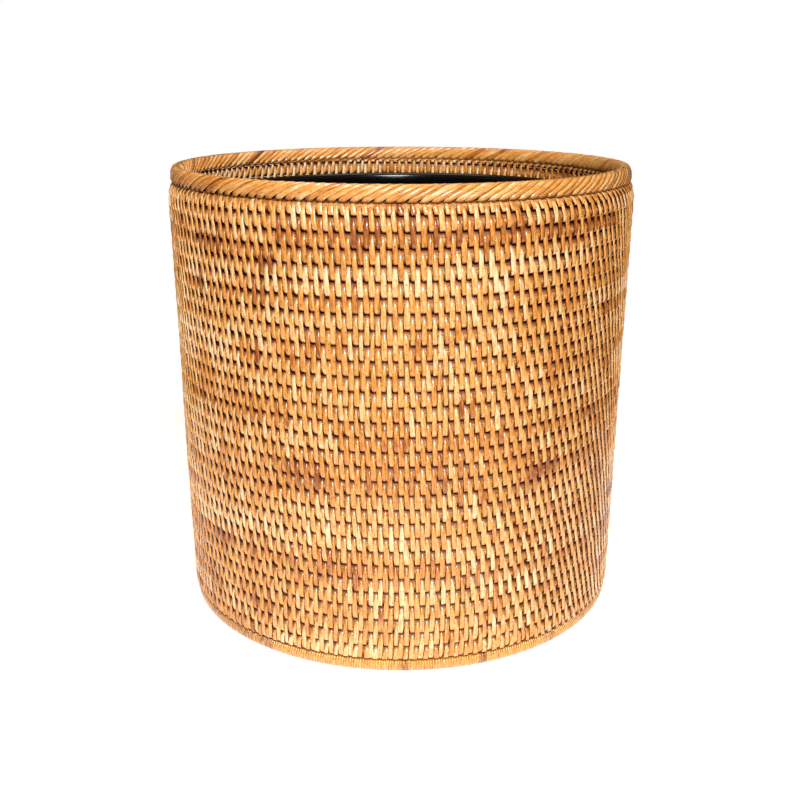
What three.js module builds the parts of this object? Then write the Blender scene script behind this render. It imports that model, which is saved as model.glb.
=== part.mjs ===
// A coiled rattan wastebasket with a lift-out sheet-steel liner.
// Millimetres, +Z up, origin on the floor at the centre of the foot ring.
//
// The wall is one long spiral of rattan rod, spliced from several lengths, that climbs to the right
// as seen from outside. Peeled strips lash every turn to the one below it, inside and outside. The
// floor is a flat spiral of the same rod. A hoop wrapped in peel closes the wall at the top, and
// another one carries the basket on the floor.
import * as THREE from "three";

// Overall sizes
const HEIGHT = 280; // floor to the crest of the rim
const TOP_RADIUS = 145.1; // outside of the lashing, just under the rim
const BOTTOM_RADIUS = 142.3; // outside of the lashing, just above the foot
const TOUCH = 0.3; // gap left between pieces that touch

// Rods of the wall and the floor
const ROD_HEIGHT = 8.24; // along the wall, where turns lie on each other
const ROD_WIDTH = 4.9; // through the wall: with the facets' flats, it fills the wall's thickness
const WALL_LENGTHS = 10; // spliced lengths in the wall spiral
const FLOOR_LENGTHS = 2; // spliced lengths in the floor spiral
const ROD_TIP = 2.1; // height of the rod's shaved ends, under the rim and over the foot
const FLOOR_START = 9; // radius of the curl at the middle of the floor
const START_TURN = -0.75; // the wall spiral starts this many turns before the front
const STRIP = 0.8; // thickness of the wall's lashing strips
const FLOOR_STRIP = 0.6; // thickness of the floor's lashing strips

// Rim: a wrapped hoop on top of the wall
const RIM_HEIGHT = 8.3;
const RIM_WIDTH = 7.2;
const RIM_INSET = 2.6; // the rim's outside lies this far inside the wall's
const RIM_WRAP = 0.7;
const RIM_OPEN = 24; // half of the wrapping's open angle underneath, in degrees

// Foot: a wrapped hoop under the wall
const FOOT_HEIGHT = 8.0;
const FOOT_WIDTH = 7.6;
const FOOT_INSET = 1.2;
const FOOT_WRAP = 0.6;
const FOOT_OPEN = 30; // half of the wrapping's open angle on top, in degrees
const FOOT_FLAT = 3.0; // width that has worn flat on the floor

// Liner: sheet-steel pail with a curled rim, a swaged bead and a seamed bottom
const LINER_DROP = 18; // crest of the basket's rim to the top of the liner
const LINER_GAP = 0.7; // between the liner's curl and the basket's rim
const LINER_SIDE_GAP = 8; // between the pail and the wall, at the pail's bottom
const SHEET = 0.6;
const CURL = 3.0; // outer radius of the curled rim
const CURL_END = -120; // where the curled edge tucks back under the curl, in degrees
const WIRE = 1.1; // radius of the wire that the rim is curled round
const BEAD_DEPTH = 1.1;
const BEAD_DROP = 9.5; // top of the liner to the middle of the bead
const BEAD_HEIGHT = 6;
const SEAM_HEIGHT = 5; // upturned flange of the bottom plate
const BOTTOM_RISE = 1.5; // the bottom plate lies this far above its seam's edge

// Facets
const FACETS = 40; // round a hoop or a sleeve
const RIM_SIDES = 8; // of the rim's section
const FOOT_SIDES = 3; // of each flank of the foot's section
const CURL_SIDES = 5; // of the liner's curl
const WIRE_SIDES = 5; // of the wire's section
const ROD_FACETS = 20; // round one turn of the wall spiral
const FLOOR_FACETS = 16; // round one turn of the floor spiral

const TAU = 2 * Math.PI;
const PITCH = ROD_HEIGHT + TOUCH;
const flatOf = (radius, facets) => radius * Math.cos(Math.PI / facets);

// Levels, from the floor up
const footTop = FOOT_HEIGHT + TOUCH;
const rimBottom = HEIGHT - RIM_HEIGHT;
const wallTop = rimBottom - TOUCH;
const floorBottom = footTop;
const floorRodBottom = floorBottom + FLOOR_STRIP + TOUCH;
const floorRodTop = floorRodBottom + ROD_WIDTH;
const floorTop = floorRodTop + TOUCH + FLOOR_STRIP;

// Radii. The wall leans out a little towards the top.
const outsideAt = (z) =>
  BOTTOM_RADIUS + ((TOP_RADIUS - BOTTOM_RADIUS) * (z - footTop)) / (wallTop - footTop);
const rodOuterAt = (z) => outsideAt(z) - STRIP - TOUCH;
const rodInnerAt = (z) => rodOuterAt(z) - ROD_WIDTH;
const innerLashingOuterAt = (z) => flatOf(rodInnerAt(z), ROD_FACETS) - TOUCH;
const insideAt = (z) => innerLashingOuterAt(z) - STRIP;
const floorRadius = insideAt(floorBottom) - TOUCH;

// Rattan and steel colours
const finish = (name, colour, roughness, metalness = 0) =>
  new THREE.MeshStandardMaterial({ name, color: colour, roughness, metalness });
const rodCore = finish("rattan_core", 0xc9924f, 0.7);
const peel = finish("rattan_peel", 0xdfa95f, 0.45);
const footPeel = finish("foot_peel", 0xe6a24c, 0.35);
const blackSteel = finish("black_enamelled_steel", 0x0b0b0d, 0.3, 0.2);
const wireSteel = finish("wire_steel", 0x8c8f94, 0.4, 1);

const wastebasket = new THREE.Group();
function addPiece(name, geometry, material) {
  const mesh = new THREE.Mesh(geometry, material);
  mesh.name = name;
  wastebasket.add(mesh);
}

// A closed outline of [radius, height] points, turned round +Z. One that meets the axis starts and
// ends there. The faces point outwards when the outline runs anticlockwise.
function turned(outline) {
  const points = outline.map(([r, z]) => new THREE.Vector2(r, z));
  if (THREE.ShapeUtils.area(points) < 0) points.reverse();
  const meetsAxis = points[0].x === 0;
  if (!meetsAxis) points.push(points[0].clone());
  return new THREE.LatheGeometry(points, FACETS).rotateX(Math.PI / 2);
}

// Points on an ellipse, from one angle to another, in degrees. 0 points outwards and 90 up.
function arc(centreR, centreZ, halfWidth, halfHeight, from, to, steps) {
  return Array.from({ length: steps + 1 }, (_, i) => {
    const a = THREE.MathUtils.degToRad(from + ((to - from) * i) / steps);
    return [centreR + halfWidth * Math.cos(a), centreZ + halfHeight * Math.sin(a)];
  });
}

// A bar with a section of [u, v] points from -1 to 1, bent by place(u, v, step). For a bar that runs
// anticlockwise round +Z, u points inwards and v up.
function bentBar(section, steps, place) {
  const shape = new THREE.Shape(section.map(([u, v]) => new THREE.Vector2(u, v)));
  const bar = new THREE.ExtrudeGeometry(shape, { depth: steps, steps, bevelEnabled: false });
  const position = bar.getAttribute("position");
  for (let i = 0; i < position.count; i++) {
    const [x, y, z] = place(position.getX(i), position.getY(i), position.getZ(i));
    position.setXYZ(i, x, y, z);
  }
  return bar;
}

const rodSection = [[1, 1], [-1, 1], [-1, -1], [1, -1]];

// Wall spiral: turn 0 passes the front with its underside at the foot. Its ends are shaved where
// the foot and the rim cut into its height.
const turnAtTop = (wallTop - ROD_TIP - footTop) / PITCH;
const wallSteps = Math.floor((turnAtTop - START_TURN) * ROD_FACETS);
function wallPoint(u, v, step) {
  const turn = START_TURN + step / ROD_FACETS;
  const low = footTop + PITCH * turn;
  const bottom = Math.max(low, footTop);
  const top = Math.min(low + ROD_HEIGHT, wallTop);
  const z = (bottom + top) / 2 + (v * (top - bottom)) / 2;
  const r = rodOuterAt(z) - (ROD_WIDTH * (1 + u)) / 2;
  const angle = TAU * turn - Math.PI / 2;
  return [r * Math.cos(angle), r * Math.sin(angle), z];
}
for (let i = 0; i < WALL_LENGTHS; i++) {
  const first = Math.round((wallSteps * i) / WALL_LENGTHS);
  const last = Math.round((wallSteps * (i + 1)) / WALL_LENGTHS);
  const splice = (TOUCH * ROD_FACETS) / (TAU * BOTTOM_RADIUS); // the gap at a splice, in steps
  const rod = bentBar(rodSection, last - first, (u, v, step) =>
    wallPoint(u, v, first + (step === 0 ? splice : step)),
  );
  addPiece(`wall_rod_${String(i + 1).padStart(2, "0")}`, rod, rodCore);
}

// Floor spiral, from the middle out.
const floorTurns = (floorRadius - PITCH / 2 - FLOOR_START) / PITCH;
const floorSteps = Math.floor(floorTurns * FLOOR_FACETS);
function floorPoint(u, v, step) {
  const r = FLOOR_START + (PITCH * step) / FLOOR_FACETS - (u * ROD_HEIGHT) / 2;
  const angle = (TAU * step) / FLOOR_FACETS;
  const z = (floorRodBottom + floorRodTop) / 2 + (v * ROD_WIDTH) / 2;
  return [r * Math.cos(angle), r * Math.sin(angle), z];
}
for (let i = 0; i < FLOOR_LENGTHS; i++) {
  // Equal lengths of rod end where the area they cover is equal.
  const first = Math.round(floorSteps * Math.sqrt(i / FLOOR_LENGTHS));
  const last = Math.round(floorSteps * Math.sqrt((i + 1) / FLOOR_LENGTHS));
  const splice = (TOUCH * FLOOR_FACETS) / (TAU * FLOOR_START);
  const rod = bentBar(rodSection, last - first, (u, v, step) =>
    floorPoint(u, v, first + (step === 0 ? splice : step)),
  );
  addPiece(`floor_rod_${i + 1}`, rod, rodCore);
}

// Lashing of the wall, as a sleeve outside the rods and another one inside them, above the floor.
const sleeve = (outerAt, low) =>
  turned([
    [outerAt(low), low],
    [outerAt(wallTop), wallTop],
    [outerAt(wallTop) - STRIP, wallTop],
    [outerAt(low) - STRIP, low],
  ]);
addPiece("wall_lashing_outside", sleeve(outsideAt, footTop), peel);
addPiece("wall_lashing_inside", sleeve(innerLashingOuterAt, floorTop + TOUCH), peel);

// Lashing of the floor, as a skin under the rods and another one over them.
const disc = (radius, low) =>
  turned([
    [0, low],
    [radius, low],
    [radius, low + FLOOR_STRIP],
    [0, low + FLOOR_STRIP],
  ]);
addPiece("floor_lashing_under", disc(floorRadius, floorBottom), peel);
addPiece("floor_lashing_over", disc(floorRadius, floorTop - FLOOR_STRIP), peel);

// Rim: the wrapping is open underneath, where the wall's top row sits. The hoop is flat there.
const rimRadius = TOP_RADIUS - RIM_INSET - RIM_WIDTH / 2;
const rimLevel = HEIGHT - RIM_HEIGHT / 2;
function rimOutline(inset, from, to) {
  const halfWidth = RIM_WIDTH / 2 - inset;
  const halfHeight = RIM_HEIGHT / 2 - inset;
  return arc(rimRadius, rimLevel, halfWidth, halfHeight, from, to, RIM_SIDES);
}
const rimStart = RIM_OPEN - 90;
const rimEnd = 270 - RIM_OPEN;
addPiece(
  "rim_wrapping",
  turned([...rimOutline(0, rimStart, rimEnd), ...rimOutline(RIM_WRAP, rimEnd, rimStart)]),
  peel,
);
addPiece("rim_hoop", turned(rimOutline(RIM_WRAP + TOUCH, rimStart, rimEnd)), rodCore);

// Foot: the wrapping is open on top, under the wall, and flat where it stands.
const footRadius = BOTTOM_RADIUS - FOOT_INSET - FOOT_WIDTH / 2;
const footLevel = FOOT_HEIGHT / 2;
const footFlatAngle = THREE.MathUtils.radToDeg(Math.asin(FOOT_FLAT / FOOT_WIDTH));
function footOutline(inset) {
  const halfWidth = FOOT_WIDTH / 2 - inset;
  const halfHeight = FOOT_HEIGHT / 2 - inset;
  const [from, to] = [90 + FOOT_OPEN, 270 - footFlatAngle];
  const flank = arc(footRadius, footLevel, halfWidth, halfHeight, from, to, FOOT_SIDES);
  flank.at(-1)[1] = inset; // down to the flat
  const otherFlank = flank.map(([r, z]) => [2 * footRadius - r, z]).reverse();
  return [...flank, ...otherFlank];
}
addPiece("foot_wrapping", turned([...footOutline(0), ...footOutline(FOOT_WRAP).reverse()]), footPeel);
addPiece("foot_hoop", turned(footOutline(FOOT_WRAP + TOUCH)), rodCore);

// Liner. The pail stands on the floor's lashing.
const linerBottom = floorTop + TOUCH;
const linerTop = HEIGHT - LINER_DROP;
const curlRadius = flatOf(rimRadius - RIM_WIDTH / 2, FACETS) - LINER_GAP - CURL;
const curlLevel = linerTop - CURL;
const pailTop = curlRadius - CURL + SHEET; // outside of the sheet where it meets the curl
const pailBottom = flatOf(insideAt(linerBottom), FACETS) - LINER_SIDE_GAP;
const pailAt = (z) =>
  pailBottom + ((pailTop - pailBottom) * (z - linerBottom)) / (curlLevel - linerBottom);
const beadLevel = linerTop - BEAD_DROP;
function pailSide(inset) {
  const beadHalf = BEAD_HEIGHT / 2;
  return [
    [pailAt(linerBottom) - inset, linerBottom],
    [pailAt(beadLevel - beadHalf) - inset, beadLevel - beadHalf],
    [pailAt(beadLevel) + BEAD_DEPTH - inset, beadLevel],
    [pailAt(beadLevel + beadHalf) - inset, beadLevel + beadHalf],
  ];
}
const round = (radius, from, to, sides) =>
  arc(curlRadius, curlLevel, radius, radius, from, to, sides);
const curlOuter = round(CURL, 180, CURL_END, CURL_SIDES);
const curlInner = round(CURL - SHEET, CURL_END, 180, CURL_SIDES);
addPiece(
  "liner_pail",
  turned([...pailSide(SHEET), ...curlOuter, ...curlInner, ...pailSide(0).reverse()]),
  blackSteel,
);
const wireOutline = round(WIRE, 0, 360, WIRE_SIDES).slice(0, -1);
addPiece("liner_rim_wire", turned(wireOutline), wireSteel);

// The bottom plate is pressed into the pail, with its flange turned down against the sheet.
const plateRadius = flatOf(pailAt(linerBottom) - SHEET, FACETS) - TOUCH;
const plateLow = linerBottom + BOTTOM_RISE;
addPiece(
  "liner_bottom",
  turned([
    [0, plateLow],
    [plateRadius - SHEET, plateLow],
    [plateRadius - SHEET, linerBottom],
    [plateRadius, linerBottom],
    [plateRadius, linerBottom + SEAM_HEIGHT],
    [plateRadius - SHEET, linerBottom + SEAM_HEIGHT],
    [plateRadius - SHEET, plateLow + SHEET],
    [0, plateLow + SHEET],
  ]),
  blackSteel,
);

export default wastebasket;
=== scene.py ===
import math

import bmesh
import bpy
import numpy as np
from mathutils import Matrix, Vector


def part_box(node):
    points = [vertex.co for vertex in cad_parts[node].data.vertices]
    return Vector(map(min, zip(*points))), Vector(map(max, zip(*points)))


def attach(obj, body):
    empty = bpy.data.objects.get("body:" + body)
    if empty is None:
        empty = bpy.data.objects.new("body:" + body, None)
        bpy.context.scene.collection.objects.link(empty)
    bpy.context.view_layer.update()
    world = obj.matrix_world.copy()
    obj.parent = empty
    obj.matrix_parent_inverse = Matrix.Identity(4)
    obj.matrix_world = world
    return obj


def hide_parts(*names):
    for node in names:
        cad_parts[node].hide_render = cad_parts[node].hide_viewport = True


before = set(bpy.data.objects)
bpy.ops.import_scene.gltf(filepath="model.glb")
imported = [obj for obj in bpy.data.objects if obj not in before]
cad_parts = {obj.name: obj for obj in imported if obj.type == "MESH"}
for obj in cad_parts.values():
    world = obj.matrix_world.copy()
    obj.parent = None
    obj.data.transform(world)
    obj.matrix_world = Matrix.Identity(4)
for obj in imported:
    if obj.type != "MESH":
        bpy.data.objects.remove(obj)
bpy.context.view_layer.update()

# A coiled rattan wastebasket with an enamelled steel liner that lifts out.
# The wall is a spiral of rattan rod. Strips of rattan peel lash every turn of it to the next one, in
# stitches that each span two turns. The stitches, the rods and the wrapping of the rim and the foot
# are real strips here, and stand for the plain closed solids of the frame.
# Lengths are in metres. MM turns a size in millimetres into metres.

MM = 0.001
TAU = 2 * math.pi
rng = np.random.default_rng(11)

# Sizes of the rattan work
ROWS = 30.8  # turns of the wall's spiral between the foot and the rim
STITCHES_PER_TURN = 150.5  # the odd half staggers the stitches from row to row
STITCH_REACH = 4.4 * MM  # from the rods' centre surface to the outside of a stitch
STITCH_HEIGHT = 17.1 * MM  # of the stitch as it is laid out, over two turns
STRIP_THICKNESS = 0.62 * MM
LASHING_OVER_ROD = 0.9 * MM  # from the outside of a rod to the outside of its lashing
LEAN_IN = 2.4 * MM  # of the wall's top edge, under the rim
LEAN_IN_HEIGHT = 9 * MM  # of the part of the wall that leans in
ROD_HALF_WIDTH = 3.1 * MM  # through the wall
ROD_GAP = 0.2 * MM  # between turns
ROD_LENGTHS = 10  # in the wall's spiral
ROD_FACETS = 96  # to a turn of the wall
RIM_STRIPS = 150
RIM_SLANT = 1.9  # how far a rim strip runs along the rim for every unit round the hoop
RIM_HALF_WIDTH = 3.6 * MM
FOOT_HALF_WIDTH = 3.8 * MM
FOOT_WRAP_PITCH = 1.55 * MM
FLOOR_START = 5 * MM  # radius of the innermost curl of the floor's spiral
FLOOR_FACETS = 64  # to a turn of the floor

# Sizes of the liner
SHEET = 0.6 * MM
CURL = 3.0 * MM  # outer radius of the curled rim
BEAD_DROP = 9.5 * MM  # top of the liner to the middle of the bead
BEAD_HEIGHT = 6 * MM
BEAD_DEPTH = 1.1 * MM
PLATE_RISE = 1.5 * MM  # the bottom plate lies this far above its seam's edge
PLATE_BEND = 3 * MM  # width of the bend between the plate and its upturned flange
LINER_SEGMENTS = 144

# ---------------------------------------------------------------- places, from the frame
wall_low, wall_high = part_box("wall_lashing_outside")
first_rod_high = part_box("wall_rod_01")[1]
rim_low, rim_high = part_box("rim_wrapping")
foot_low, foot_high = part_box("foot_wrapping")
floor_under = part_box("floor_lashing_under")
floor_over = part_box("floor_lashing_over")
pail_low, pail_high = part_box("liner_pail")
plate_low, plate_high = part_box("liner_bottom")

foot_top = wall_low.z
wall_top = wall_high.z
pitch = (wall_top - foot_top) / ROWS
top_radius = wall_high.x
bottom_radius = first_rod_high.x + LASHING_OVER_ROD
stitch_spacing = TAU * (top_radius - STITCH_REACH) / STITCHES_PER_TURN


# ---------------------------------------------------------------- camera, light and floor
def make_camera():
    data = bpy.data.cameras.new("camera")
    data.lens = 47.57
    data.sensor_width = 36
    data.shift_x = -0.00125
    camera = bpy.data.objects.new("camera", data)
    camera.location = (0, -0.6824, 0.3346)
    camera.rotation_euler = (math.radians(72.72), 0, 0)
    bpy.context.collection.objects.link(camera)
    bpy.context.scene.camera = camera


def area_light(name, place, aim, size, power):
    data = bpy.data.lights.new(name, "AREA")
    data.shape = "DISK"
    data.size = size
    data.energy = power
    light = bpy.data.objects.new(name, data)
    light.location = place
    towards = Vector(aim) - Vector(place)
    light.rotation_euler = towards.to_track_quat("-Z", "Y").to_euler()
    bpy.context.collection.objects.link(light)


def linear(code):
    """An sRGB hex colour as linear RGBA."""
    channels = [int(code[i : i + 2], 16) / 255 for i in (1, 3, 5)]
    return [c / 12.92 if c <= 0.04045 else ((c + 0.055) / 1.055) ** 2.4 for c in channels] + [1]


def add(tree, kind, settings=None, inputs=None):
    """Adds a node. inputs holds, for each socket, a value or the output that feeds it."""
    node = tree.nodes.new(kind)
    for name, value in (settings or {}).items():
        if name == "stops":
            ramp = node.color_ramp
            while len(ramp.elements) < len(value):
                ramp.elements.new(0.5)
            for element, (place, code) in zip(ramp.elements, value):
                element.position = place
                element.color = linear(code)
        else:
            setattr(node, name, value)
    for socket, value in (inputs or {}).items():
        if isinstance(value, bpy.types.NodeSocket):
            tree.links.new(value, node.inputs[socket])
        else:
            node.inputs[socket].default_value = value
    return node


def new_material(name):
    material = bpy.data.materials.new(name)
    material.use_nodes = True
    material.node_tree.nodes.clear()
    return material, material.node_tree


def finish_material(tree, shader):
    add(tree, "ShaderNodeOutputMaterial", None, {"Surface": shader.outputs[0]})


def mesh_from(bm, name):
    mesh = bpy.data.meshes.new(name)
    bm.to_mesh(mesh)
    bm.free()
    return mesh


def make_stage():
    """A pale paper disc under a white room. The room fills the shadows dimly and warmly."""
    world = bpy.data.worlds.new("studio")
    bpy.context.scene.world = world
    world.use_nodes = True
    tree = world.node_tree
    tree.nodes.clear()
    white = linear("#FFFFFF")
    seen = add(tree, "ShaderNodeBackground", None, {"Color": white, "Strength": 1.0})
    fill = add(tree, "ShaderNodeBackground", None, {"Color": linear("#FFCB90"), "Strength": 0.26})
    ray = add(tree, "ShaderNodeLightPath")
    room = add(
        tree,
        "ShaderNodeMixShader",
        None,
        {0: ray.outputs["Is Camera Ray"], 1: fill.outputs[0], 2: seen.outputs[0]},
    )
    add(tree, "ShaderNodeOutputWorld", None, {"Surface": room.outputs[0]})
    bpy.context.scene.view_settings.view_transform = "Standard"

    bm = bmesh.new()
    bmesh.ops.create_circle(bm, cap_ends=True, segments=128, radius=0.44)
    mesh = mesh_from(bm, "studio_floor")
    floor = bpy.data.objects.new("studio_floor", mesh)
    bpy.context.collection.objects.link(floor)
    material, tree = new_material("matt_white_paper")
    shader = add(
        tree,
        "ShaderNodeBsdfPrincipled",
        None,
        {
            "Base Color": linear("#F4F4F3"),
            "Roughness": 0.9,
            "Emission Color": white,
            "Emission Strength": 0.42,
        },
    )
    finish_material(tree, shader)
    mesh.materials.append(material)
    area_light("key", (0.1, -1.25, 1.15), (0, 0, 0.16), 0.45, 28)
    area_light("front", (0.1, -1.5, 0.5), (0, 0, 0.16), 0.3, 5)
    area_light("overhead", (0, 0.2, 1.4), (0, 0, 0.1), 0.9, 5)


# ---------------------------------------------------------------- materials
# Rattan peel is the hard skin of the cane, split into strips and varnished. The eye gets long fibres,
# brown stains and small flecks under a clear coat that glints on every bend.
# The tone of each strip, from 0 for stained brown to 1 for pale straw, is the "tone" attribute.
# The darkening attribute is 1 where a strip goes in between two rods. Varnish and dust gather there, and
# the shade that falls there is painted into the colour as well. The same darkening is painted, as shade
# only, at the basket's left and right sides seen from the front, right under the rim, where the rim
# strips fold in under the hoop, and along the top of the foot.
PEEL_TONES = [
    (0.0, "#8A481A"),
    (0.2, "#B06A2A"),
    (0.4, "#CC883C"),
    (0.6, "#D99C50"),
    (0.8, "#E5B272"),
    (1.0, "#F0CFA0"),
]
# The foot's peel is finer and not split flat, more golden and even in tone.
FOOT_TONES = [
    (0.0, "#8A4A18"),
    (0.3, "#CC9040"),
    (0.6, "#E2A950"),
    (0.85, "#EDBC68"),
    (1.0, "#F6D490"),
]
# Spacing across and length along the strip of the fibres, the stains and the flecks, in mm, and
# the detail of each. Real fibres lie 0.4 mm apart, and are drawn twice as coarse, so that they show.
PEEL_PATTERNS = ((0.8, 12, 3), (1.8, 5, 2), (0.9, 1.8, 2))


def rattan_peel(name, tones, roughness, coat):
    material, tree = new_material(name)
    tone = add(tree, "ShaderNodeAttribute", {"attribute_name": "tone"})
    tuck = add(tree, "ShaderNodeAttribute", {"attribute_name": "tuck"})
    grain = add(tree, "ShaderNodeUVMap", {"uv_map": "grain"})
    patterns = []
    for across, along, detail in PEEL_PATTERNS:
        place = add(
            tree,
            "ShaderNodeMapping",
            None,
            {"Vector": grain.outputs[0], "Scale": (1 / (across * MM), 1 / (along * MM), 1)},
        )
        noise = add(
            tree, "ShaderNodeTexNoise", None, {"Vector": place.outputs[0], "Scale": 1, "Detail": detail}
        )
        patterns.append(noise.outputs[0])
    fibres, stains, flecks = patterns
    shade = tone.outputs["Fac"]
    for pattern, depth in ((fibres, 0.3), (stains, 0.2)):
        shift = add(
            tree,
            "ShaderNodeMapRange",
            None,
            {"Value": pattern, "From Min": 0.25, "From Max": 0.75, "To Min": -depth, "To Max": depth},
        )
        shifted = add(tree, "ShaderNodeMath", {"operation": "ADD"}, {0: shade, 1: shift.outputs[0]})
        shade = shifted.outputs[0]
    colour = add(tree, "ShaderNodeValToRGB", {"stops": tones}, {"Fac": shade})
    fleck = add(
        tree,
        "ShaderNodeMapRange",
        None,
        {"Value": flecks, "From Min": 0.56, "From Max": 0.74, "To Min": 0.0, "To Max": 0.9},
    )
    flecked = add(
        tree,
        "ShaderNodeMix",
        {"data_type": "RGBA", "blend_type": "MULTIPLY"},
        {0: fleck.outputs[0], 6: colour.outputs["Color"], 7: linear("#B86A30")},
    )
    # Painted shade: the colour is multiplied towards red-brown where a strip goes in between the rods.
    # This is partly for varnish and dust there, and partly for the shade that falls there.
    darkened = add(
        tree,
        "ShaderNodeMix",
        {"data_type": "RGBA", "blend_type": "MULTIPLY"},
        {0: tuck.outputs["Fac"], 6: flecked.outputs[2], 7: linear("#743110")},
    )
    rough = add(
        tree,
        "ShaderNodeMapRange",
        None,
        {
            "Value": fibres,
            "From Min": 0.25,
            "From Max": 0.75,
            "To Min": roughness - 0.08,
            "To Max": roughness + 0.1,
        },
    )
    bump = add(
        tree,
        "ShaderNodeBump",
        None,
        {"Strength": 0.6, "Distance": 0.1 * MM, "Height": fibres},
    )
    shader = add(
        tree,
        "ShaderNodeBsdfPrincipled",
        None,
        {
            "Base Color": darkened.outputs[2],
            "Roughness": rough.outputs[0],
            "Normal": bump.outputs[0],
            "Coat Weight": coat,
            "Coat Roughness": 0.18,
        },
    )
    finish_material(tree, shader)
    return material


# Rattan core is the stripped inside of the cane: dry, streaky along its length and duller. Deep between
# two turns of the rod it is painted dark, partly for the stain there and partly as painted shade. It is
# painted darker at the basket's left and right sides as painted shade only.
def rattan_core():
    material, tree = new_material("rattan_core")
    tuck = add(tree, "ShaderNodeAttribute", {"attribute_name": "tuck"})
    place = add(tree, "ShaderNodeUVMap", {"uv_map": "grain"})
    streak_place = add(
        tree,
        "ShaderNodeMapping",
        None,
        {"Vector": place.outputs[0], "Scale": (1 / (0.5 * MM), 1 / (15 * MM), 1)},
    )
    streaks = add(
        tree, "ShaderNodeTexNoise", None, {"Vector": streak_place.outputs[0], "Scale": 1, "Detail": 4}
    )
    colour = add(
        tree,
        "ShaderNodeValToRGB",
        {"stops": [(0.3, "#80481C"), (0.45, "#BC7C36"), (0.58, "#DDA457"), (0.75, "#F0C684")]},
        {"Fac": streaks.outputs[0]},
    )
    # Painted shade: the core's colour is multiplied towards red-brown deep between the turns and at the
    # basket's sides.
    stained = add(
        tree,
        "ShaderNodeMix",
        {"data_type": "RGBA", "blend_type": "MULTIPLY"},
        {0: tuck.outputs["Fac"], 6: colour.outputs["Color"], 7: linear("#6E2C0E")},
    )
    bump = add(
        tree,
        "ShaderNodeBump",
        None,
        {"Strength": 0.6, "Distance": 0.12 * MM, "Height": streaks.outputs[0]},
    )
    shader = add(
        tree,
        "ShaderNodeBsdfPrincipled",
        None,
        {"Base Color": stained.outputs[2], "Roughness": 0.6, "Normal": bump.outputs[0]},
    )
    finish_material(tree, shader)
    return material


# Black baked enamel on steel sheet: deep gloss, with a faint unevenness of the skin from the baking.
def black_enamel():
    material, tree = new_material("black_baked_enamel")
    place = add(tree, "ShaderNodeTexCoord")
    skin = add(
        tree,
        "ShaderNodeTexNoise",
        None,
        {"Vector": place.outputs["Object"], "Scale": 1 / (2.5 * MM), "Detail": 2},
    )
    rough = add(
        tree,
        "ShaderNodeMapRange",
        None,
        {"Value": skin.outputs[0], "From Min": 0.3, "From Max": 0.7, "To Min": 0.14, "To Max": 0.2},
    )
    bump = add(
        tree, "ShaderNodeBump", None, {"Strength": 0.1, "Distance": 0.03 * MM, "Height": skin.outputs[0]}
    )
    shader = add(
        tree,
        "ShaderNodeBsdfPrincipled",
        None,
        {
            "Base Color": linear("#070708"),
            "Roughness": rough.outputs[0],
            "Normal": bump.outputs[0],
            "Specular IOR Level": 0.3,
        },
    )
    finish_material(tree, shader)
    return material


# The cores of the hoops are dry rattan, dull brown and streaky, and show only as a dark ground in the
# notches of their wrapping. The wire in the liner's rim is drawn steel, grey with a fine streak.
def plain_core(name, dark, light, spacing, metallic, roughness):
    material, tree = new_material(name)
    place = add(tree, "ShaderNodeTexCoord")
    streaks = add(
        tree,
        "ShaderNodeTexNoise",
        None,
        {"Vector": place.outputs["Object"], "Scale": 1 / spacing, "Detail": 3},
    )
    colour = add(
        tree,
        "ShaderNodeValToRGB",
        {"stops": [(0.35, dark), (0.65, light)]},
        {"Fac": streaks.outputs[0]},
    )
    shader = add(
        tree,
        "ShaderNodeBsdfPrincipled",
        None,
        {"Base Color": colour.outputs["Color"], "Roughness": roughness, "Metallic": metallic},
    )
    finish_material(tree, shader)
    return material


# ---------------------------------------------------------------- strips and rods
# A bar is laid out straight first: x across its section, z out of its face, and y the number of the
# station along it. Each kind of bar then takes its points to where they belong.
# A strip's section is in shares of its width and its thickness.
STITCH_SECTION = ((-0.5, -0.8), (-0.38, 0.0), (0.38, 0.0), (0.5, -0.8))
# A rim strip is flat, and laps over the strip on its left.
RIM_SECTION = ((-0.5, -0.7), (-0.5, 0.12), (-0.43, 0.18), (0.38, -0.14), (0.5, -0.45), (0.5, -1.2))
ROD_SIDES = 8


def bar(section, stations, closed=False):
    """A straight bar with capped ends. With closed set it has no caps, because its ends will meet."""
    bm = bmesh.new()
    corners = [bm.verts.new((x, 0, z)) for x, z in section]
    start = corners + [bm.edges.new((corners[i - 1], corners[i])) for i in range(len(corners))]
    if not closed:
        start.append(bm.faces.new(corners))
    steps = stations if closed else stations - 1
    bmesh.ops.spin(
        bm, geom=start, cent=(0, 0, 0), axis=(0, 0, 1), dvec=(0, steps, 0), angle=0, steps=1
    )
    long_edges = [e for e in bm.edges if abs(e.verts[0].co.y - e.verts[1].co.y) > steps / 2]
    bmesh.ops.subdivide_edges(bm, edges=long_edges, cuts=steps - 1)
    return bm


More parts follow.
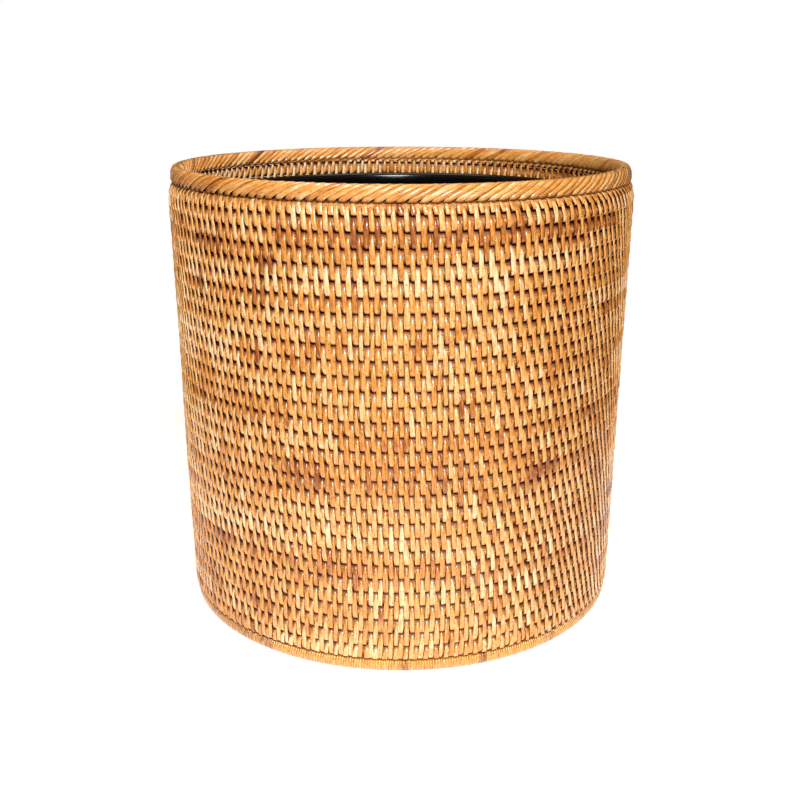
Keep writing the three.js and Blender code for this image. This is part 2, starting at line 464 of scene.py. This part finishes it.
def strip_template(route, section, closed=False):
    """A strip on a route of (x, y, z, width). y is the depth into the wall, so -y is its outside.
    Its width is measured along x, and its grain is laid out in metres along and across the strip."""
    route = np.array(route, float)
    points, widths = route[:, :3], route[:, 3]
    count = len(route)
    if closed:
        before, after = np.roll(points, 1, 0), np.roll(points, -1, 0)
    else:
        before = np.vstack([points[:1], points[:-1]])
        after = np.vstack([points[1:], points[-1:]])
    along = after - before
    # Out of the strip's face: across the run, in the plane of y and z.
    out = np.stack([np.zeros(count), along[:, 2], -along[:, 1]], 1)
    out /= np.linalg.norm(out, axis=1)[:, None]
    squareness = np.hypot(along[:, 1], along[:, 2]) / np.linalg.norm(along, axis=1)
    steps = np.linalg.norm(np.diff(points, axis=0, append=points[:1]), axis=1)
    lengths = np.concatenate([[0], np.cumsum(steps)])

    bm = bar(section, count, closed)
    grain = bm.loops.layers.uv.new("grain")
    for face in bm.faces:
        for loop in face.loops:
            across, station, _ = loop.vert.co
            i = round(station) % count
            loop[grain].uv = (across * widths[i] * squareness[i], lengths[round(station)])
    for vert in bm.verts:
        across, station, lift = vert.co
        i = round(station) % count
        vert.co = points[i] + (across * widths[i], 0, 0) + out[i] * lift * STRIP_THICKNESS
    if closed:
        bmesh.ops.remove_doubles(bm, verts=bm.verts, dist=1e-7)
    bmesh.ops.recalc_face_normals(bm, faces=bm.faces)
    return bm


def rod_mesh(name, stations, station_length, start):
    """A round rod of unit radius, straight along y, with its grain laid out from start on."""
    ring = [TAU * i / ROD_SIDES for i in range(ROD_SIDES)]
    bm = bar([(math.cos(a), math.sin(a)) for a in ring], stations)
    bmesh.ops.recalc_face_normals(bm, faces=bm.faces)
    grain = bm.loops.layers.uv.new("grain")
    for face in bm.faces:
        for loop in face.loops:
            x, station, z = loop.vert.co
            loop[grain].uv = (math.atan2(z, x) * ROD_HALF_WIDTH, start + station * station_length)
    return mesh_from(bm, name)


def copies(template, count, name):
    """A mesh of count copies of the template, one after the other, all in the template's place."""
    bm = template.copy()
    sizes = len(bm.verts), len(bm.edges), len(bm.faces)
    made = 1
    while made < count:
        more = min(made, count - made)
        geometry = []
        for elements, size in zip((bm.verts, bm.edges, bm.faces), sizes):
            elements.ensure_lookup_table()
            geometry += elements[: more * size]
        bmesh.ops.duplicate(bm, geom=geometry)
        made += more
    return mesh_from(bm, name)


def points_of(mesh, count):
    """The points of a mesh of count copies, as an array of copies, points and x, y, z."""
    flat = np.empty(len(mesh.vertices) * 3)
    mesh.vertices.foreach_get("co", flat)
    return flat.reshape(count, -1, 3)


def put_points(mesh, points):
    mesh.vertices.foreach_set("co", points.ravel())
    mesh.update()


def paint(mesh, name, values):
    mesh.attributes.new(name, "FLOAT", "POINT").data.foreach_set("value", values.ravel())


def paint_copies(mesh, count, tone, tuck):
    """Gives every copy its tone and its own stretch of the grain, and every point its darkening, which
    is partly painted shade.
    """
    paint(mesh, "tone", np.repeat(tone, len(mesh.vertices) // count))
    paint(mesh, "tuck", tuck)
    layer = mesh.uv_layers["grain"].uv
    flat = np.empty(len(layer) * 2)
    layer.foreach_get("vector", flat)
    grain = flat.reshape(count, -1, 2)
    grain += rng.uniform(0, 3, (count, 1, 2))
    layer.foreach_set("vector", grain.ravel())


def add_piece(name, mesh, material, body, nodes=()):
    mesh.materials.append(material)
    mesh.shade_smooth()
    piece = bpy.data.objects.new(name, mesh)
    bpy.context.collection.objects.link(piece)
    if nodes:
        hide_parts(*nodes)
    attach(piece, body)


# The tones that a strip may have, before its stitches vary, and the chance of each
STRIP_TONES = (0.2, 0.42, 0.6, 0.7, 0.85)
STRIP_CHANCES = (0.03, 0.15, 0.36, 0.31, 0.15)
SHORTEST_RUN, LONGEST_RUN = 9, 46  # stitches that one strip makes


def tones_in_runs(count):
    """A strip makes a run of stitches before the next one takes over, so tones change in runs. Here and
    there a few stitches are stained."""
    tone = np.empty(count)
    at = 0
    while at < count:
        run = rng.integers(SHORTEST_RUN, LONGEST_RUN)
        tone[at : at + run] = rng.choice(STRIP_TONES, p=STRIP_CHANCES)
        at += run
    tone += rng.normal(0, 0.12, count)
    stained = rng.random(count) < 0.02
    for k in np.flatnonzero(stained):
        tone[k : k + rng.integers(1, 5)] -= rng.uniform(0.15, 0.45)
    return np.clip(tone, 0.02, 1)


def waves(angle, height, turns, seed):
    """A smooth, slow unevenness over the wall, about -1 to 1. turns is its slowest wave's count round
    the basket, and each seed gives another one."""
    chance = np.random.default_rng(seed)
    total = 0
    for n in range(1, 6):
        phase, slope = chance.uniform(0, TAU), chance.uniform(-60, 60)
        total = total + np.sin(angle * (turns * n) + height * slope * n + phase) / n
    return total / 2


# ---------------------------------------------------------------- the wall
def outside_radius(height):
    """The wall widens evenly upwards, and its top leans in under the rim."""
    share = (height - foot_top) / (wall_top - foot_top)
    lean_in = LEAN_IN * np.clip(1 - (wall_top - height) / LEAN_IN_HEIGHT, 0, 1) ** 1.3
    return bottom_radius + (top_radius - bottom_radius) * share - lean_in


def spiral_level(turn, local):
    """Height of a point of a stitch that goes in under the given turn of the rod, from its place in
    the laid-out stitch. Where the foot or the rim leaves less than two turns, the stitch is shorter."""
    low = foot_top + pitch * turn
    bottom = np.clip(low, foot_top, wall_top)
    top = np.clip(low + 2 * pitch, foot_top, wall_top)
    middle = np.clip(low + pitch, (foot_top + top) / 2, (bottom + wall_top) / 2)
    half = STITCH_HEIGHT / 2
    lower_part = bottom + (middle - bottom) * local / half
    upper_part = middle + (top - middle) * (local - half) / half
    return np.where(local < half, lower_part, upper_part)


def on_wall(along, depth, height):
    """Bends the flat layout round the basket. along is measured to the right, at the top's radius. The
    wall is a little uneven, and its rows waver, though not at the foot and the rim."""
    angle = along / (top_radius - STITCH_REACH)
    radius = outside_radius(height) - STITCH_REACH - depth
    radius = radius + 0.35 * MM * waves(angle, height, 2, 3)
    share = np.clip((height - foot_top) / (wall_top - foot_top), 0, 1)
    level = height + 0.3 * MM * waves(angle, height, 1, 4) * np.sin(np.pi * share)
    return np.stack([radius * np.sin(angle), -radius * np.cos(angle), level], -1)


# A stitch goes down the outside over two rods, in under the lower one, up the inside and out over the
# upper one: height above the gap it goes in by, reach from the rods' centres, and width, in mm.
STITCH_OUTSIDE = (
    (17.0, 0.6, 1.2),
    (16.2, 1.7, 1.8),
    (15.0, 2.7, 2.25),
    (12.4, 4.0, 2.75),
    (10.4, 4.3, 2.95),
    (8.4, 4.15, 3.0),
    (5.6, 4.42, 3.05),
    (3.0, 4.45, 3.1),
    (1.3, 4.05, 3.1),
    (0.4, 3.1, 2.9),
    (0.1, 1.4, 2.3),
)
STITCH_INSIDE = (
    (0.2, -1.6, 2.3),
    (2.2, -3.9, 2.8),
    (5.2, -4.4, 2.9),
    (8.6, -4.1, 2.7),
    (12.6, -4.2, 2.4),
    (15.6, -2.5, 1.8),
)


def stitch():
    """One closed loop of a stitch, laid out flat. Its outside is at y < 0 and its inside at y > 0."""
    route = [(0, -reach * MM, z * MM, w * MM) for z, reach, w in STITCH_OUTSIDE + STITCH_INSIDE]
    return strip_template(route, STITCH_SECTION, closed=True)


def stitch_stain_and_painted_shade(y, side):
    """How deep a point of a stitch is between the rods, as a darkening of its colour: 1 at their
    centres. The darkening stands partly for varnish and dust there and partly for painted shade. side is
    1 at the basket's left and right sides as seen from the front, where the painted shade reaches
    further out along the strips."""
    return np.clip(1.1 + 0.3 * side - np.abs(y) / (3.0 * MM), 0, 1) ** 0.8


def stitch_lean(angle, height, side, count):
    """How far the stitches' tops lean to the left. They lean most at the sides."""
    near_foot = np.clip(1 - (height - foot_top) / (70 * MM), 0, 1)
    lean = 0.05 + 0.22 * side - 0.1 * near_foot * (1 - side) + 0.03 * waves(angle, height, 1, 5)
    return lean + rng.normal(0, 0.03, (count, 1))


def lash_wall(template, material):
    """The stitches of the wall, one after the other up the spiral, in eight pieces."""
    first_turn = -2.0  # the lowest stitches start under the foot and are cut short by it
    total = int((ROWS - first_turn) * STITCHES_PER_TURN)
    turns = first_turn + np.arange(total) / STITCHES_PER_TURN
    room = np.minimum(turns + 2, ROWS) - np.maximum(turns, 0)
    turns = turns[room > 0.25]  # less than a quarter of a row holds no stitch
    total = len(turns)
    tones = tones_in_runs(total)
    groups = 8
    bounds = np.linspace(0, total, groups + 1).astype(int)
    for g in range(groups):
        number = np.arange(bounds[g], bounds[g + 1])
        count = len(number)
        turn = turns[number][:, None]
        mesh = copies(template, count, f"wall_lashing_{g + 1}")
        flat = points_of(mesh, count)
        x, y, z = flat[..., 0], flat[..., 1], flat[..., 2]
        angle = TAU * turn
        height = foot_top + pitch * turn
        side = np.sin(angle) ** 2
        # Painted shade: each stitch is painted darker between the rods, and more so at the basket's left
        # and right sides.
        tuck = stitch_stain_and_painted_shade(y, side)
        # Every stitch has its own width, lean, place along the row and stand-off from the wall.
        widen = 0.99 - 0.15 * side + rng.normal(0, 0.08, (count, 1))
        lean = stitch_lean(angle, height, side, count)
        slip = 0.4 * MM * waves(angle, height, 3, 6) + rng.normal(0, 0.24 * MM, (count, 1))
        proud = rng.normal(0, 0.1 * MM, (count, 1))
        front = np.clip(-y / STITCH_REACH, 0, 1)
        # Its ends go in a little higher or lower, and at the sides its lower end goes in higher.
        stretch = rng.normal(0, 0.3 * MM, (count, 1)) * (1 - front) * (y < 0)
        stretch = stretch + 1.2 * MM * side * np.clip(1 - z / (6 * MM), 0, 1)
        x = x * widen - (z - STITCH_HEIGHT / 2) * lean + slip
        y = y - proud * front
        level = spiral_level(turn, np.clip(z + stretch, 0, STITCH_HEIGHT))
        along = turn * STITCHES_PER_TURN * stitch_spacing + x
        # The top row runs straight up under the rim. There it loses its darkening between the rods, and
        # is painted dark right under the rim instead, as painted shade of the rim.
        near_rim = np.clip(1 - (wall_top - level) / (2.5 * MM), 0, 1)
        y = np.where(y < 0, np.minimum(y, -3.0 * MM * near_rim), y)
        under_rim = np.clip(1 - (wall_top - level) / (0.9 * MM), 0, 1)
        tuck = np.maximum(tuck * (1 - near_rim), under_rim)
        put_points(mesh, on_wall(along, y, level))
        paint_copies(mesh, count, tones[number], tuck)
        nodes = ("wall_lashing_outside", "wall_lashing_inside") if g == 0 else ()
        add_piece(f"wall_lashing_{g + 1}", mesh, material, "basket", nodes)


def lay_wall_rods(material):
    """The wall's spiral in its spliced lengths, shaved to fit over the foot and under the rim hoop."""
    first_turn = -0.75
    last_turn = (wall_top + 1.0 * MM - foot_top) / pitch
    highest = wall_top + 1.6 * MM  # up against the rim hoop
    total = int((last_turn - first_turn) * ROD_FACETS)
    spots = np.linspace(0, total, ROD_LENGTHS + 1).astype(int)
    for i in range(ROD_LENGTHS):
        name = f"coil_rod_{i + 1}"
        mesh = rod_mesh(name, spots[i + 1] - spots[i] + 1, TAU * top_radius / ROD_FACETS, 7 * i)
        points = points_of(mesh, 1)[0]
        turn = first_turn + (spots[i] + points[:, 1]) / ROD_FACETS
        low = np.maximum(foot_top + pitch * turn, foot_top)
        high = np.minimum(foot_top + pitch * (turn + 1), highest)
        half = np.maximum((high - low - ROD_GAP) / 2, 0.3 * MM)
        level = (low + high) / 2 + points[:, 2] * half
        along = TAU * turn * (top_radius - STITCH_REACH)
        side = np.sin(TAU * turn) ** 2
        # Painted shade: the rod is painted darker towards the top and bottom of its section, deep
        # between the turns, partly for stain there. It is painted darker at the basket's left and right
        # sides as painted shade only.
        paint(mesh, "tuck", np.clip(np.abs(points[:, 2]) * 1.7 - 0.4 + 0.4 * side, 0, 1))
        put_points(mesh, on_wall(along, points[:, 0] * ROD_HALF_WIDTH, level))
        add_piece(name, mesh, material, "basket", (f"wall_rod_{i + 1:02d}",))


# ---------------------------------------------------------------- the rim and the foot
def wrap_rim(material):
    """Diagonal strips over the rim hoop. Their ends come down outside and inside onto the wall's top
    row, like saw teeth, and fold in under the hoop."""
    centre_radius = rim_high.x - RIM_HALF_WIDTH
    fold_level = rim_low.z - 0.3 * MM
    half_height = (rim_high.z - fold_level) / 1.53  # of the round part, over the teeth
    centre = rim_high.z - half_height
    spacing = TAU * centre_radius / RIM_STRIPS
    full_width = 1.06 * spacing
    tooth = [
        (-2.4 * MM, fold_level + 0.3 * MM),
        (-3.4 * MM, fold_level - 0.2 * MM),
        (-3.65 * MM, fold_level + 0.8 * MM),
    ]
    tooth_widths = (0.45, 0.55, 0.78, 0.99)  # from a tooth's tip to the round part
    section = list(tooth)
    for a in np.radians(np.linspace(-8, 188, 12)):
        section.append((-RIM_HALF_WIDTH * math.cos(a), centre + half_height * math.sin(a)))
    section += [(-y, z) for y, z in tooth[::-1]]
    x = 0
    route = []
    for i, (y, z) in enumerate(section):
        if i:
            x += RIM_SLANT * math.dist((y, z), section[i - 1])
        from_end = min(i, len(section) - 1 - i)
        route.append((x, y, z, tooth_widths[min(from_end, 3)] * full_width))
    middle = x / 2
    # The teeth lose one corner, so that a dark notch shows between them.
    route = [
        (x - middle + math.copysign(full_width - width, middle - x) / 2, y, z, width)
        for x, y, z, width in route
    ]
    mesh = copies(strip_template(route, RIM_SECTION), RIM_STRIPS, "rim_strips")
    flat = points_of(mesh, RIM_STRIPS)
    number = np.arange(RIM_STRIPS)[:, None]
    x, y, z = flat[..., 0], flat[..., 1], flat[..., 2]
    # Painted shade: the strips are painted darker where they fold in under the hoop.
    tuck = np.clip(1 - (z - fold_level) / (0.8 * MM), 0, 1) * 0.5
    slip = rng.normal(0, 0.3 * MM, (RIM_STRIPS, 1))
    swell = 1 + rng.normal(0, 0.02, (RIM_STRIPS, 1))
    angle = (number * spacing + x + slip) / centre_radius
    radius = centre_radius - y * swell
    level = np.minimum(z + rng.normal(0, 0.12 * MM, (RIM_STRIPS, 1)), rim_high.z)
    put_points(mesh, np.stack([radius * np.sin(angle), -radius * np.cos(angle), level], -1))
    tones = np.clip(0.55 + rng.normal(0, 0.1, RIM_STRIPS), 0, 1)
    tones[rng.random(RIM_STRIPS) < 0.06] -= 0.3
    paint_copies(mesh, RIM_STRIPS, tones, tuck)
    add_piece("rim_strips", mesh, material, "basket", ("rim_wrapping",))


def wrap_foot(material):
    """Fine round peel wound close round the foot hoop, worn flat where it stands."""
    half_height = (foot_high.z - foot_low.z) / 2
    centre_radius = foot_high.x - FOOT_HALF_WIDTH
    count = round(TAU * centre_radius / FOOT_WRAP_PITCH)
    spacing = TAU * centre_radius / count
    stations = 12
    route = []
    for i in range(stations):
        a = TAU * (i + 0.5) / stations
        z = half_height * math.sin(a)
        route.append((0, -FOOT_HALF_WIDTH * math.cos(a), z, spacing * 1.04))
    mesh = copies(strip_template(route, STITCH_SECTION, closed=True), count, "foot_wraps")
    flat = points_of(mesh, count)
    number = np.arange(count)[:, None]
    x, y, z = flat[..., 0], flat[..., 1], flat[..., 2]
    lean = rng.normal(0.04, 0.02, (count, 1))
    swell = 1 + rng.normal(0, 0.008, (count, 1))
    angle = (number * spacing + x + lean * z) / centre_radius
    radius = centre_radius - y * swell
    level = half_height + np.clip(z * swell, -half_height, half_height)
    put_points(mesh, np.stack([radius * np.sin(angle), -radius * np.cos(angle), level], -1))
    # Each length of peel has its own tone, and some of the splices between them are dark.
    tones = 0.42 + rng.normal(0, 0.05, count)
    at = 0
    while at < count:
        run = rng.integers(12, 40)
        tones[at : at + run] += rng.normal(0, 0.07)
        if rng.random() < 0.35:
            tones[at : at + rng.integers(1, 4)] -= 0.3
        at += run
    # Painted shade: the wraps are painted darker along the top of the foot, where it meets the wall.
    tuck = np.clip(z / half_height - 0.8, 0, 1) * 1.5
    paint_copies(mesh, count, np.clip(tones, 0, 1), tuck)
    add_piece("foot_wraps", mesh, material, "basket", ("foot_wrapping",))


# ---------------------------------------------------------------- the floor
def floor_radius_at(run):
    """Radius of the floor's spiral after a run along it, from the middle."""
    return np.sqrt(FLOOR_START**2 + pitch * run / math.pi)


def lash_floor(template, peel, core):
    """The wall's stitches again, laid flat round the floor's spiral, and the spiral's two lengths."""
    outer = floor_over[1].x
    middle = (floor_under[0].z + floor_over[1].z) / 2
    squeeze = (floor_over[1].z - floor_under[0].z) / 2 / STITCH_REACH
    run_end = math.pi * ((outer - 2 * pitch) ** 2 - FLOOR_START**2) / pitch
    count = int(run_end / stitch_spacing)
    run = (np.arange(count) + 0.5) * stitch_spacing
    start = floor_radius_at(run)
    turn = (start - FLOOR_START) / pitch
    mesh = copies(template, count, "floor_lashing")
    flat = points_of(mesh, count)
    x, y, z = flat[..., 0], flat[..., 1], flat[..., 2]
    # Painted shade: the floor's stitches are darker between the rods, partly for dust there and partly
    # as painted shade.
    tuck = stitch_stain_and_painted_shade(y, 0)
    x = x * (1 + rng.normal(0, 0.06, (count, 1))) + rng.normal(0, 0.2 * MM, (count, 1))
    radius = start[:, None] + z * (2 * pitch / STITCH_HEIGHT)
    angle = TAU * turn[:, None] + x / np.maximum(radius, 6 * MM)
    level = middle + y * squeeze
    put_points(mesh, np.stack([radius * np.cos(angle), radius * np.sin(angle), level], -1))
    paint_copies(mesh, count, tones_in_runs(count), tuck)
    nodes = ("floor_lashing_under", "floor_lashing_over")
    add_piece("floor_lashing", mesh, peel, "basket", nodes)

    turns = (outer - FLOOR_START - pitch / 2) / pitch
    total = int(turns * FLOOR_FACETS)
    halves = [0, int(total * math.sqrt(0.5)), total]
    for i in range(2):
        name = f"floor_coil_{i + 1}"
        mesh = rod_mesh(name, halves[i + 1] - halves[i] + 1, 6 * MM, 0)
        points = points_of(mesh, 1)[0]
        turn = (halves[i] + points[:, 1]) / FLOOR_FACETS
        half = (pitch - ROD_GAP) / 2
        radius = FLOOR_START + pitch * turn + pitch / 2 - points[:, 0] * half
        angle = TAU * turn
        level = middle + points[:, 2] * 2.6 * MM
        # Painted shade: the floor's rod is painted darker towards the sides of its section, between the
        # turns.
        paint(mesh, "tuck", np.abs(points[:, 0]) ** 2)
        put_points(mesh, np.stack([radius * np.cos(angle), radius * np.sin(angle), level], -1))
        add_piece(name, mesh, core, "basket", (f"floor_rod_{i + 1}",))


# ---------------------------------------------------------------- the liner
def turned_piece(outline, name):
    """A closed outline of (radius, height) points, spun round the basket's axis."""
    bm = bmesh.new()
    points = [bm.verts.new((r, 0, z)) for r, z in outline]
    edges = [bm.edges.new((points[i - 1], points[i])) for i in range(len(points))]
    bmesh.ops.spin(
        bm,
        geom=points + edges,
        cent=(0, 0, 0),
        axis=(0, 0, 1),
        angle=TAU,
        steps=LINER_SEGMENTS,
        use_merge=True,
    )
    bmesh.ops.remove_doubles(bm, verts=bm.verts, dist=1e-6)
    bmesh.ops.recalc_face_normals(bm, faces=bm.faces)
    return mesh_from(bm, name)


def arc(radius, height, size, start, end, steps):
    angles = np.radians(np.linspace(start, end, steps + 1))
    return [(radius + size * math.cos(a), height + size * math.sin(a)) for a in angles]


def make_liner(material):
    """A pail with a curled rim and a bead below it, and the bottom plate seamed into it."""
    curl_radius = pail_high.x - CURL
    curl_level = pail_high.z - CURL
    bead = pail_high.z - BEAD_DROP
    bottom_outside = plate_high.x + 0.9 * MM
    top_outside = curl_radius - CURL + SHEET

    def side(height):
        share = (height - pail_low.z) / (curl_level - pail_low.z)
        return bottom_outside + (top_outside - bottom_outside) * share

    def bead_swell(height):
        return BEAD_DEPTH * math.cos(math.pi * np.clip((height - bead) / BEAD_HEIGHT, -0.5, 0.5)) ** 2

    levels = [pail_low.z, *np.linspace(bead - BEAD_HEIGHT / 2, bead + BEAD_HEIGHT / 2, 9)]
    outer_side = [(side(h) + (bead_swell(h) if h > pail_low.z else 0), h) for h in levels]
    inner_side = [(r - SHEET, h) for r, h in outer_side]
    roll_out = arc(curl_radius, curl_level, CURL, 180, -120, 20)
    roll_in = arc(curl_radius, curl_level, CURL - SHEET, -120, 180, 20)
    outline = inner_side + roll_out + roll_in + outer_side[::-1]
    mesh = turned_piece(outline, "liner_shell")
    add_piece("liner_shell", mesh, material, "liner", ("liner_pail",))

    low, high = plate_low.z, plate_high.z
    rim = plate_high.x
    plate = low + PLATE_RISE
    outline = [
        (0, plate),
        (rim - PLATE_BEND, plate),
        (rim - SHEET, plate - SHEET),
        (rim - SHEET, low),
        (rim, low),
        (rim, high),
        (rim - SHEET, high),
        (rim - SHEET - 0.2 * MM, plate + 1.6 * MM),
        (rim - PLATE_BEND, plate + SHEET),
        (0, plate + SHEET),
    ]
    mesh = turned_piece(outline, "liner_floor")
    add_piece("liner_floor", mesh, material, "liner", ("liner_bottom",))


# ---------------------------------------------------------------- assembly
make_camera()
make_stage()
peel = rattan_peel("varnished_rattan_peel", PEEL_TONES, 0.38, 0.75)
foot_peel = rattan_peel("glossy_round_peel", FOOT_TONES, 0.28, 1.0)
core = rattan_core()
enamel = black_enamel()
hidden_core = plain_core("dry_rattan_hoop", "#4A2A12", "#7C4C24", 2 * MM, 0.0, 0.7)
wire = plain_core("drawn_steel_wire", "#6E7074", "#9A9DA2", 0.8 * MM, 1.0, 0.4)

one_stitch = stitch()
lash_wall(one_stitch, peel)
lay_wall_rods(core)
wrap_rim(peel)
wrap_foot(foot_peel)
lash_floor(one_stitch, peel, core)
make_liner(enamel)
for node, material in (
    ("rim_hoop", hidden_core),
    ("foot_hoop", hidden_core),
    ("liner_rim_wire", wire),
):
    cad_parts[node].data.materials.clear()
    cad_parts[node].data.materials.append(material)
